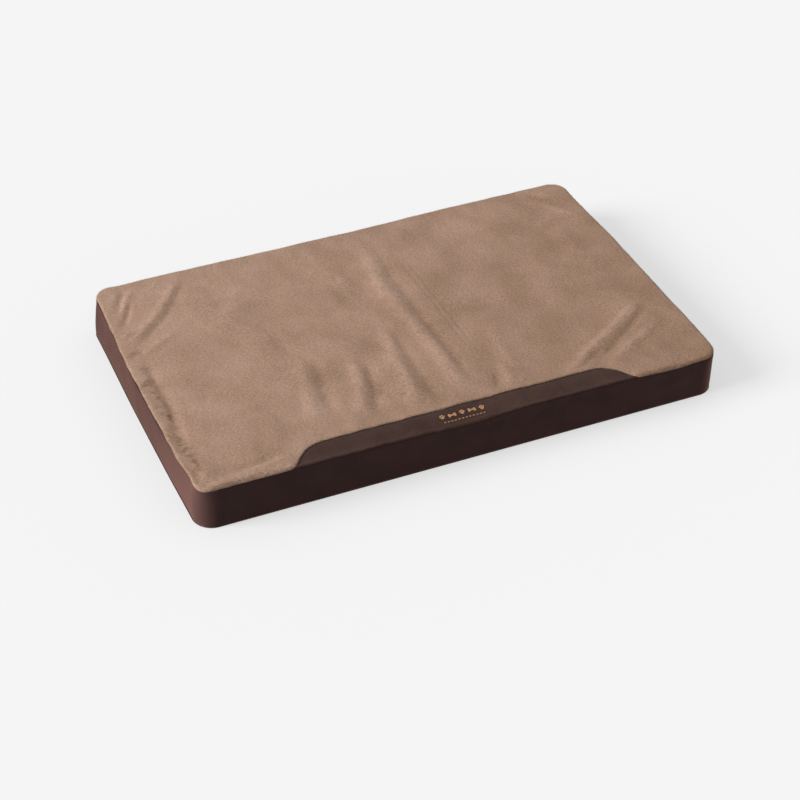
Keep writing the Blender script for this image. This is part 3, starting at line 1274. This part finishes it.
stitch_outs = [(0, 1, 0)] * len(stitch_ends)
stitches = threads("rear_stitches", stitch_ends, stitch_outs, thread_tree("lock_stitch", sewing),
                   STITCH_R, STITCH_RISE)
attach(stitches, "bed")


# ---- Zip slider and puller -------------------------------------------------------------------
# The slider is die-cast zinc, plated dark nickel: two plates on a web, with a bridge that the
# puller swings on. The puller is a flat tab with a window at its hinge end.

SLIDER_BEVEL = 0.28 * MM
PULLER_BEVEL = 0.22 * MM

# Dark nickel plating, tumbled smooth: a soft metal gloss, rubbed paler here and there
nickel, tree, place = new_material("dark_nickel_plating")
rub = add(tree, "ShaderNodeTexNoise", {"Vector": place["Object"], "Scale": 420.0, "Detail": 5.0})
gloss = add(tree, "ShaderNodeMapRange", {"Value": rub, "To Min": 0.24, "To Max": 0.42})
finish(tree, [(rub, 0.0, 1.0, "#4a4441", "#6e6661")], [], {"Metallic": 1.0, "Roughness": gloss})

for node, body, bevel in (
    ("zip_slider", "slider", SLIDER_BEVEL), ("zip_puller", "puller", PULLER_BEVEL),
):
    form = bmesh.new()
    form.from_mesh(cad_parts[node].data)
    bmesh.ops.remove_doubles(form, verts=form.verts, dist=1e-6)
    bmesh.ops.dissolve_limit(form, angle_limit=math.radians(2), verts=form.verts, edges=form.edges)
    bmesh.ops.recalc_face_normals(form, faces=form.faces)
    mesh = bpy.data.meshes.new(node)
    form.to_mesh(mesh)
    form.free()
    mesh.materials.append(nickel)
    mesh.shade_smooth()
    piece = bpy.data.objects.new("cast_" + node, mesh)
    bpy.context.collection.objects.link(piece)
    round_off = piece.modifiers.new("round", "BEVEL")
    round_off.width = bevel
    round_off.segments = 3
    round_off.limit_method = "ANGLE"
    round_off.angle_limit = math.radians(35)
    round_off.harden_normals = True
    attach(piece, body)
    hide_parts(node)


# ---- Care label ------------------------------------------------------------------------------
# A blank ribbon of white satin, folded double and caught in the bottom seam at the rear.

label_low, label_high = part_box("care_label")
LABEL_T = 0.25 * MM

# Slit satin ribbon: off-white, with a soft gloss along its fine warp threads
satin, tree, place = new_material("satin_label_ribbon")
warp = add(tree, "ShaderNodeTexWave", {
    "Vector": place["UV"], "Scale": 500.0,
}, bands_direction="X").outputs["Fac"]
finish(tree, [(warp, 0.0, 1.0, "#d8d5cb", "#e8e6de")], [(warp, 0.3, 0.08 * MM)],
       {"Roughness": 0.42, "Sheen Weight": 0.15})

label_x = np.linspace(label_low.x, label_high.x, 14)
label_points, label_facing = rear_row(label_x, label_low.y)
label_h = label_high.z - label_low.z
label_rows = [(t * label_h, 0.9 * MM + 2.2 * MM * t ** 2) for t in np.linspace(0, 1, 9)]
fold_back = [(h, out - 0.55 * MM) for h, out in reversed(label_rows)]
label_profile = label_rows + [(label_h + 0.25 * MM, label_rows[-1][1] - 0.27 * MM)] + fold_back
label_heights = np.array([np.full(label_x.shape, label_low.z + h) for h, _ in label_profile])
label_curl = 0.5 * MM * np.cos((label_x - label_low.x) / (label_high.x - label_low.x) * 2 * math.pi)
label_out = np.array([out + label_curl * (h / label_h) for h, out in label_profile])
care_label = wall("satin_care_label", label_points, label_facing, label_heights, label_out, satin)
thicken(care_label, LABEL_T)
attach(care_label, "bed")
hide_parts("care_label")


# ---- Foam core and liner ---------------------------------------------------------------------
# One block of polyether foam fills the cover. It is sold in a thin bag of white non-woven
# cloth, in two halves sewn together round the middle of its sides.

LINER_T = 0.4 * MM
# The profiles are pairs of inset and height in mm, from the middle outwards
CORE_TOP_PROFILE = ((40, 64.4), (16, 64.2), (11, 63.3), (8.2, 61.2), (7.2, 57))
CORE_BASE_PROFILE = ((7.0, 8), (7.8, 4.4), (10, 2.6), (15, 2.2), (40, 2.2))
LINER_TOP_PROFILE = ((40, 65.1), (16, 64.9), (10.6, 63.9), (7.5, 61.6), (6.4, 57), (6.2, 33))
LINER_BASE_PROFILE = ((6.2, 33), (6.2, 8), (7.0, 4), (9.4, 2), (15, 1.55), (40, 1.55))


def lofted(name, profile, material, cap_first, cap_last, crinkle):
    """A shell that follows the bed's outline at each inset and height of a profile."""
    rings = [outline(inset * MM, 8 * MM)[0] for inset, _ in profile]
    count = min(len(r) for r in rings)
    rings = [r[np.round(np.linspace(0, len(r), count, endpoint=False)).astype(int)] for r in rings]
    vertices, faces = [], []
    for ring, (_, level) in zip(rings, profile):
        waves = crinkle * ripple(ring[:, 0], ring[:, 1] + level * MM * 3, 28 * MM, 61.0)
        middle = np.linalg.norm(ring, axis=1, keepdims=True)
        moved = ring * (1 - waves[:, None] / middle)
        vertices.append(np.column_stack([moved, np.full(count, level * MM) - np.abs(waves)]))
    for first in range(0, (len(rings) - 1) * count, count):
        for c in range(count):
            a, b = first + c, first + (c + 1) % count
            faces.append((a, a + count, b + count, b))
    if cap_first:
        faces.append(tuple(range(count)))
    if cap_last:
        faces.append(tuple(reversed(range((len(rings) - 1) * count, len(rings) * count))))
    piece = new_piece(name, draw_in(np.concatenate(vertices)), faces, material)
    form = bmesh.new()
    form.from_mesh(piece.data)
    caps = [f for f in form.faces if len(f.verts) > 4]
    bmesh.ops.triangulate(form, faces=caps)
    bmesh.ops.recalc_face_normals(form, faces=form.faces)
    form.to_mesh(piece.data)
    form.free()
    return piece


# Polyether foam, cut from a block: cream, matt and open-celled. Its cells are drawn 1.5 mm wide.
foam, tree, place = new_material("open_cell_polyether_foam")
cells = add(tree, "ShaderNodeTexVoronoi", {
    "Vector": place["Object"], "Scale": 650.0,
}).outputs["Distance"]
finish(tree, [(cells, 0.0, 1.0, "#d9c896", "#f2e8c8")], [(cells, 0.8, 0.5 * MM)], {"Roughness": 0.95})

# Spunbonded polypropylene: white, thin and papery, with the small dents of its bonding roller
nonwoven, tree, place = new_material("spunbond_polypropylene")
bonds = add(tree, "ShaderNodeTexVoronoi", {
    "Vector": place["Object"], "Scale": 400.0, "Randomness": 0.1,
}).outputs["Distance"]
fibres = add(tree, "ShaderNodeTexNoise", {"Vector": place["Object"], "Scale": 900.0, "Detail": 4.0})
finish(tree, [(fibres, 0.0, 1.0, "#cfcdc6", "#e4e2dc")], [(bonds, 0.5, 0.2 * MM)], {"Roughness": 0.7})

core = lofted("foam_block", CORE_TOP_PROFILE + CORE_BASE_PROFILE, foam, True, True, 0.0)
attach(core, "bed")
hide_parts("foam_core")
for half, profile, top in (("top", LINER_TOP_PROFILE, True), ("base", LINER_BASE_PROFILE, False)):
    liner = lofted("nonwoven_liner_" + half, profile, nonwoven, top, not top, 0.2 * MM)
    thicken(liner, LINER_T)
    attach(liner, "bed")
    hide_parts("liner_" + half)
